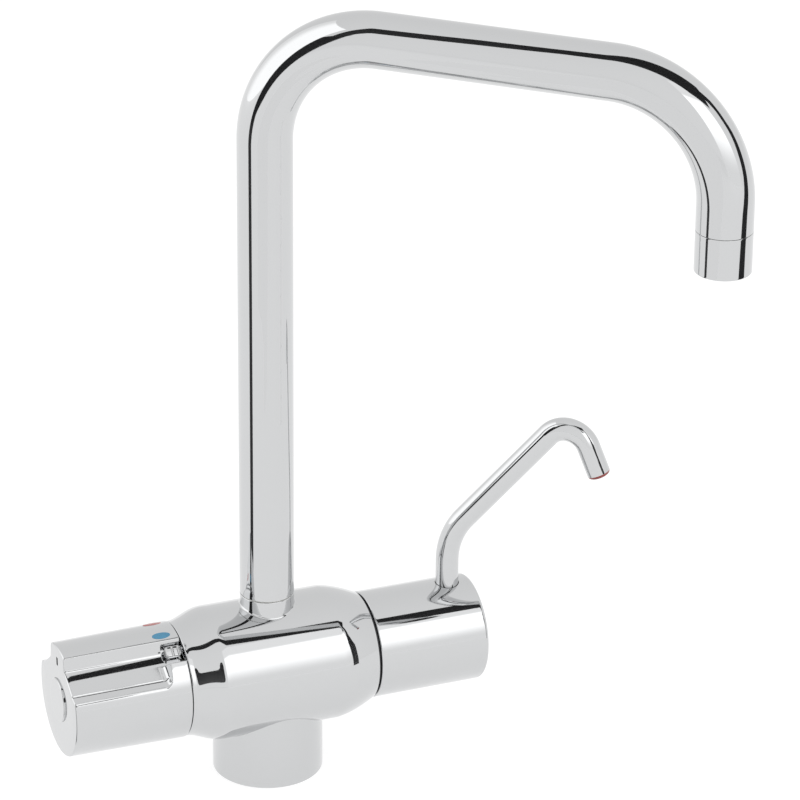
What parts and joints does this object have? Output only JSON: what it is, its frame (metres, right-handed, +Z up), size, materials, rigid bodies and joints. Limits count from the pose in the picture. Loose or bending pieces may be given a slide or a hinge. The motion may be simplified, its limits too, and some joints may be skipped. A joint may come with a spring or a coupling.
{
  "type": "thermostatic basin mixer",
  "caption": "Deck-mounted thermostatic mixer: horizontal barrel with temperature knob and flow barrel, tall swivel spout, and a small hot-water spout on the flow barrel.",
  "frame": {"origin": "centre of the pedestal's underside, on the deck", "axes": "+Z up, +X along the barrel away from the temperature knob, -Y towards the user"},
  "size_m": [0.2634, 0.1794, 0.3682],
  "materials": {
    "chrome_body": "polished",
    "chrome_tube": "polished",
    "chrome_knob": "polished",
    "brass": "machined",
    "steel": "plain",
    "seal": "matt",
    "white_plastic": "moulded",
    "black_plastic": "moulded",
    "disc": "ground",
    "red_plastic": "moulded",
    "blue_enamel": "filled",
    "red_enamel": "filled"
  },
  "bodies": {
    "fixed_body": {"mixer_body": "chrome_body", "base_gasket": "seal", "check_valve_housings": "white_plastic", "cold_check_spring": "steel", "hot_check_spring": "steel", "cartridge_sleeve": "white_plastic", "cartridge_seals": "seal", "port_screens": "steel", "return_spring": "steel", "temperature_stop_ring": "white_plastic", "cartridge_nut": "brass", "headwork_body": "brass", "headwork_seals": "seal", "disc_seat_seal": "seal", "fixed_disc": "disc", "gap_ring": "black_plastic", "spout_lock_screw": "steel"},
    "cold_poppet": {"cold_check_poppet": "white_plastic"},
    "hot_poppet": {"hot_check_poppet": "white_plastic"},
    "temperature_control": {"temperature_spindle": "brass", "temperature_spindle_seal": "seal", "knob_carrier": "white_plastic", "temperature_knob": "chrome_knob", "knob_screw": "steel", "knob_cap": "chrome_knob", "cold_mark": "blue_enamel", "hot_mark": "red_enamel", "button_spring": "steel"},
    "regulating_unit": {"mixing_shuttle": "white_plastic", "wax_element": "brass", "lift_screw": "brass"},
    "stop_button": {"safety_button": "chrome_knob"},
    "flow_control": {"moving_disc": "disc", "flow_spindle": "brass", "flow_spindle_seals": "seal", "spindle_circlip": "steel", "flow_barrel": "chrome_body", "outlet_block": "brass", "barrel_set_screw": "steel"},
    "small_spout": {"small_spout_tube": "chrome_tube", "small_spout_seals": "seal", "small_spout_clip": "steel", "hot_nozzle": "red_plastic"},
    "main_spout": {"main_spout_tube": "chrome_tube", "spout_tail": "brass", "spout_seals": "seal", "spout_glide_rings": "white_plastic", "aerator_housing": "chrome_tube", "aerator_insert": "black_plastic", "aerator_washer": "seal"}
  },
  "joints": [
    {"name": "temperature_turn", "type": "hinge", "parent": "fixed_body", "child": "temperature_control", "pos_m": [-0.07, 0, 0.0513], "axis": [1, 0, 0], "range_deg": [-165, 105]},
    {"name": "regulating_lift", "type": "slide", "parent": "fixed_body", "child": "regulating_unit", "axis": [1, 0, 0], "range_m": [-0.001, 0.0007], "deforming": ["return_spring"]},
    {"name": "stop_button_press", "type": "slide", "parent": "temperature_control", "child": "stop_button", "axis": [0, 0.6756, -0.7373], "range_m": [0, 0.002], "stiffness_N_per_m": 400, "springref_m": -0.001, "deforming": ["button_spring"]},
    {"name": "flow_turn", "type": "hinge", "parent": "fixed_body", "child": "flow_control", "pos_m": [0.07, 0, 0.0513], "axis": [1, 0, 0], "range_deg": [-45, 45]},
    {"name": "small_spout_swivel", "type": "hinge", "parent": "flow_control", "child": "small_spout", "pos_m": [0.0872, 0, 0.0871], "axis": [0, 0, 1], "range_deg": [-90, 45]},
    {"name": "main_spout_swivel", "type": "hinge", "parent": "fixed_body", "child": "main_spout", "pos_m": [0, 0, 0.0873], "axis": [0, 0, 1], "range_deg": [-108, 12]},
    {"name": "cold_check_lift", "type": "slide", "parent": "fixed_body", "child": "cold_poppet", "axis": [0, 0, 1], "range_m": [0, 0.002], "stiffness_N_per_m": 50, "springref_m": -0.003, "deforming": ["cold_check_spring"]},
    {"name": "hot_check_lift", "type": "slide", "parent": "fixed_body", "child": "hot_poppet", "axis": [0, 0, 1], "range_m": [0, 0.002], "stiffness_N_per_m": 50, "springref_m": -0.003, "deforming": ["hot_check_spring"]}
  ],
  "couplings": [
    {"joint": "regulating_lift", "follows": "temperature_turn", "m_per_rad": 0.00031831}
  ]
}
